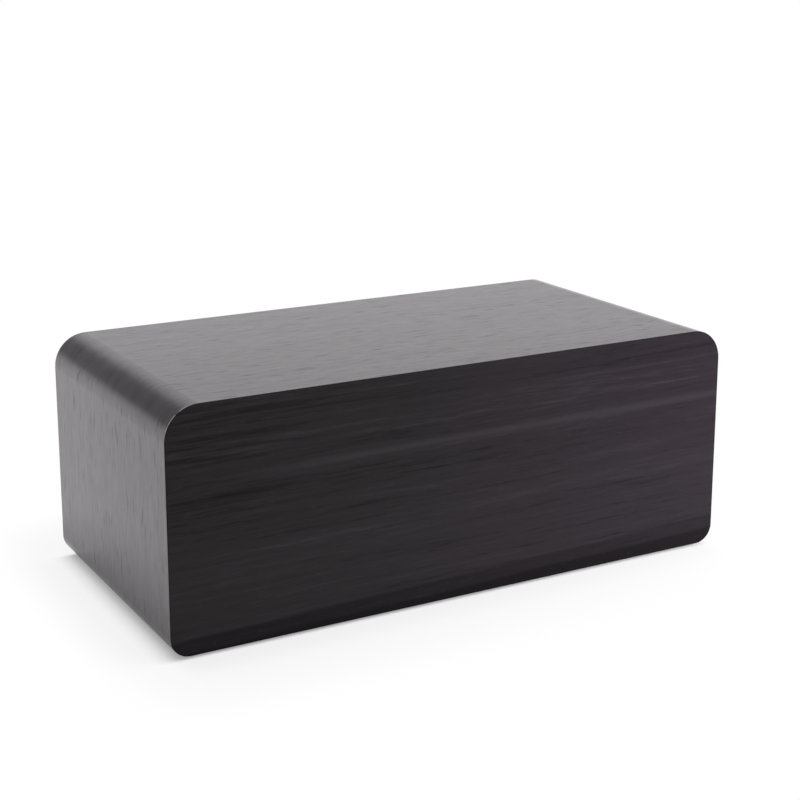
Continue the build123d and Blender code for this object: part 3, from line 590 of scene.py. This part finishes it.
def cellRing(shape, look, place, along, radius):
    # Points round the cell's axis, or a single one on it
    count = look["sides"] if radius else 1
    turns = [math.tau * i / count for i in range(count)]
    spots = [Vector((along, radius * math.cos(turn), radius * math.sin(turn))) for turn in turns]
    return [shape.verts.new(place @ (spot * mm)) for spot in spots]


def cellFinish(look, along, radius):
    if radius < look["sleeveRadius"]:
        return "nickelPlate"
    return "cellBand" if along > look["bandFrom"] else "cellSleeve"


def addCell(shape, look, place):
    profile = look["profile"]
    rings = [cellRing(shape, look, place, along, radius) for along, radius in profile]
    for start, end, first, second in zip(profile, profile[1:], rings, rings[1:]):
        finish = cellFinish(look, (start[0] + end[0]) / 2, (start[1] + end[1]) / 2)
        for i in range(look["sides"]):
            corners = [first[i % len(first)], first[(i + 1) % len(first)],
                       second[(i + 1) % len(second)], second[i % len(second)]]
            face = shape.faces.new(list(dict.fromkeys(corners)))
            face.material_index = look["finishes"].index(finish)
            face.smooth = True


def addCells(look):
    shape = bmesh.new()
    length = look["profile"][-1][0] * mm
    middleY = (cellsLow.y + cellsHigh.y) / 2
    for z, isTurned in zip(cellRows, turned):
        place = Matrix.Translation((cellsHigh.x - length, middleY, z))
        if isTurned:
            place = Matrix.Translation((cellsLow.x + length, middleY, z)) @ Matrix.Rotation(math.pi, 4, "Z")
        addCell(shape, look, place)
    mesh = meshFrom(shape, "batteryCells")
    mesh.set_sharp_from_angle(angle=math.radians(look["sharpAngle"]))
    for name in look["finishes"]:
        mesh.materials.append(finishes[name])
    cells = addObject("batteryCells", mesh)
    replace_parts(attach(cells, "root"), "battery_cells")


addCells(cellLook)


# Small flat pieces: polarity marks inside the door, contact strips on the socket's tongue

polarityLook = {"arm": 3.2, "width": 0.8, "height": 0.12, "fromEnd": 7.0, "doorThickness": 1.6}
stripLook = {
    "count": 6, "pitch": 0.9, "width": 0.35, "length": 3.0, "height": 0.03,
    "fromTip": 0.5, "blade": 0.7,                       # the blade is the tongue's thinner front part
}


def addBoxes(name, boxes, finish, body):
    # Each box is its lowest and highest corner, in millimetres
    shape = bmesh.new()
    for low, high in boxes:
        size = Vector(high) - Vector(low)
        place = Matrix.Translation((Vector(low) + size / 2) * mm) @ Matrix.Diagonal((*(size * mm), 1))
        bmesh.ops.create_cube(shape, size=1, matrix=place)
    mesh = meshFrom(shape, name)
    mesh.materials.append(finishes[finish])
    piece = addObject(name, mesh)
    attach(piece, body)


def polarityBoxes(look):
    boxes = []
    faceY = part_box("battery_door")[1].y / mm - look["doorThickness"]
    lowY = faceY - look["height"]
    left, right = cellsLow.x / mm + look["fromEnd"], cellsHigh.x / mm - look["fromEnd"]
    arm, half = look["arm"] / 2, look["width"] / 2
    for z, isTurned in zip([row / mm for row in cellRows], turned):
        plus, minus = (left, right) if isTurned else (right, left)
        for x in (plus, minus):
            boxes.append(((x - arm, lowY, z - half), (x + arm, faceY, z + half)))
        for low, high in ((z - arm, z - half), (z + half, z + arm)):
            boxes.append(((plus - half, lowY, low), (plus + half, faceY, high)))
    return boxes


def stripBoxes(look):
    boxes = []
    low, high = [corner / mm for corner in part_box("usb_tongue")]
    middle = (low + high) / 2
    back = high.y - look["fromTip"]
    half = look["width"] / 2
    for i in range(look["count"]):
        x = middle.x + (i - (look["count"] - 1) / 2) * look["pitch"]
        for side in (-1, 1):
            face = middle.z + side * look["blade"] / 2
            lowZ, highZ = sorted((face, face + side * look["height"]))
            boxes.append(((x - half, back - look["length"], lowZ), (x + half, back, highZ)))
    return boxes


addBoxes("polarityMarks", polarityBoxes(polarityLook), "blackMoulding", "battery_door")
addBoxes("contactStrips", stripBoxes(stripLook), "nickelPlate", "root")
print("cells, marks and contact strips added")


# Camera, at the photograph's viewing angle

cameraFit = {
    "place": (-192.63, -346.78, 153.0),                 # millimetres
    "yaw": -29.394, "pitch": 13.08, "roll": 0.061,      # degrees
    "focalPixels": 1627.3, "framePixels": 800, "sensor": 36.0,
    "shift": -0.1,                                      # share of the frame, for the upright edges
    "clip": (0.01, 100),                                # metres
}


def addCamera(fit):
    data = bpy.data.cameras.new("photoCamera")
    data.sensor_width = fit["sensor"]
    data.lens = fit["focalPixels"] / fit["framePixels"] * fit["sensor"]
    data.shift_y = fit["shift"]
    data.clip_start, data.clip_end = fit["clip"]
    camera = addObject("photoCamera", data)
    yaw, pitch, roll = [math.radians(fit[name]) for name in ("yaw", "pitch", "roll")]
    back = Vector((math.sin(yaw) * math.cos(pitch), -math.cos(yaw) * math.cos(pitch), math.sin(pitch)))
    right = Vector((math.cos(yaw), math.sin(yaw), 0))
    turn = Matrix.Rotation(roll, 3, back)
    right, up = turn @ right, turn @ back.cross(right)
    axes = Matrix((right, up, back)).transposed().to_4x4()
    camera.matrix_world = Matrix.Translation(Vector(fit["place"]) * mm) @ axes
    bpy.context.scene.camera = camera


addCamera(cameraFit)


# White sweep, with a floor that keeps the shadow and goes over to plain white away from the object

floorLook = {
    "half": 30.0, "paper": (0.93, 0.93, 0.93, 1),   # metres, and the paper's own colour
    "contact": 0.22, "near": 0.84,                  # share of plain white at the contact and once it opens up
    "open": 8.5, "clear": 24.0,                     # millimetres from the contact to there and to plain white
    "overhang": 4.6,                                # how far the rounded sides stand out over the contact
    # before and behind the block: where it opens up and fades out, and how much reach each adds
    "openFrom": (-2.0, 0.5), "openReach": 6.3, "fadeFrom": (2.0, 60.0), "fadeReach": 30.0,
    "mirroredLow": 0.12, "mirroredFrom": 33.0,      # its mirror image stays darker near the contact
}


def rayKinds(tree):
    # Whether a ray comes from the camera, and whether it is mirrored or goes through glass
    path = addNode(tree, "ShaderNodeLightPath").outputs
    mirrored = calc(tree, "MAXIMUM", path["Is Glossy Ray"], path["Is Transmission Ray"])
    return path["Is Camera Ray"], mirrored


def floorReach(tree, look):
    # How far a point of the floor counts as away from where the block meets it
    x, y, _ = placeMm(tree)
    beside = calc(tree, "SUBTRACT", calc(tree, "ABSOLUTE", x), cadHigh.x / mm - look["overhang"])
    before = calc(tree, "SUBTRACT", calc(tree, "ABSOLUTE", y), cadHigh.y / mm)
    ahead = calc(tree, "ADD", remap(tree, before, *look["openFrom"], 0.0, look["openReach"]),
                 remap(tree, before, *look["fadeFrom"], 0.0, look["fadeReach"]))
    outside = addNode(tree, "ShaderNodeCombineXYZ", {0: calc(tree, "MAXIMUM", beside, 0.0), 1: ahead})
    return addNode(tree, "ShaderNodeVectorMath", {0: outside.outputs[0]}, operation="LENGTH").outputs["Value"]


def whitePaper(look):
    material, tree, shader = newMaterial("whitePaper")
    plugIn(tree, shader, {"Base Color": look["paper"], "Roughness": 1.0, "Specular IOR Level": 0.0})
    white = addNode(tree, "ShaderNodeEmission", {"Color": (1, 1, 1, 1), "Strength": 1.0})
    reach = floorReach(tree, look)
    plain = calc(tree, "ADD", remap(tree, reach, 0.0, look["open"], look["contact"], look["near"]),
                 remap(tree, reach, look["open"], look["clear"], 0.0, 1.0 - look["near"]))
    fromCamera, mirrored = rayKinds(tree)
    image = remap(tree, reach, 0.0, look["mirroredFrom"], look["mirroredLow"], 1.0)
    seen = calc(tree, "MAXIMUM", fromCamera, product(tree, mirrored, image))
    share = product(tree, plain, seen)
    both = addNode(tree, "ShaderNodeMixShader", {0: share, 1: shader.outputs[0], 2: white.outputs[0]})
    tree.links.new(both.outputs[0], tree.nodes["Material Output"].inputs["Surface"])
    return material


def addFloor(look):
    mesh = bpy.data.meshes.new("paperFloor")
    half = look["half"]
    corners = [(-half, -half, 0), (half, -half, 0), (half, half, 0), (-half, half, 0)]
    mesh.from_pydata(corners, [], [(0, 1, 2, 3)])
    mesh.materials.append(whitePaper(look))
    floor = addObject("paperFloor", mesh)


addFloor(floorLook)


# Studio light

studio = {
    "ambient": 0.36,                                    # even light on matt surfaces
    "wall": 0.85, "overhead": 0.38,                     # levels that gloss mirrors, round about and overhead
    "dimOver": (0.5, 0.8),                              # rises between which the one goes over to the other
    "front": 0.5, "frontOver": (-0.75, 0.1),            # the side that the camera stands on is dimmer
    "panel": 0.42,                                      # dark panel at the back left, and its soft edges
    "panelX": (0.24, -0.2), "panelY": (0.2, 0.6), "panelZ": (0.0, 0.2),
}
softBoxes = [
    {"name": "topSoftBox", "place": (0.2, 0.3, 1.2), "size": (1.6, 1.2), "watts": 9.0, "mirrored": True},
    {"name": "rightSoftBox", "place": (0.25, -0.22, 0.05), "size": (0.25, 0.25), "watts": 2.0,
     "mirrored": False},
]


def lightWorld(look):
    world = bpy.data.worlds.new("whiteStudio")
    bpy.context.scene.world = world
    world.use_nodes = True
    tree = world.node_tree
    direction = addNode(tree, "ShaderNodeTexCoord").outputs["Generated"]
    x, y, z = addNode(tree, "ShaderNodeSeparateXYZ", {0: direction}).outputs
    onPanel = product(tree, remap(tree, x, *look["panelX"]), remap(tree, y, *look["panelY"]),
                      remap(tree, z, *look["panelZ"]))
    level = product(tree, remap(tree, z, *look["dimOver"], look["wall"], look["overhead"]),
                    remap(tree, y, *look["frontOver"], look["front"], 1.0),
                    remap(tree, onPanel, 0.0, 1.0, 1.0, look["panel"]))
    # Matt surfaces get the even light, mirrored rays the room's levels, the camera plain white
    fromCamera, mirrored = rayKinds(tree)
    beyond = calc(tree, "SUBTRACT", level, look["ambient"])
    lit = calc(tree, "MULTIPLY_ADD", mirrored, beyond, look["ambient"])
    strength = calc(tree, "MAXIMUM", lit, fromCamera)
    plugIn(tree, tree.nodes["Background"], {"Color": (1, 1, 1, 1), "Strength": strength})


def addSoftBox(look):
    data = bpy.data.lights.new(look["name"], "AREA")
    data.shape = "RECTANGLE"
    data.size, data.size_y = look["size"]
    data.energy = look["watts"]
    lamp = addObject(look["name"], data)
    lamp.visible_glossy = look["mirrored"]
    lamp.location = look["place"]
    lamp.rotation_euler = (-Vector(look["place"])).to_track_quat("-Z", "Y").to_euler()


lightWorld(studio)
for box in softBoxes:
    addSoftBox(box)
bpy.context.scene.view_settings.view_transform = "Standard"
print("camera, floor and light ready")
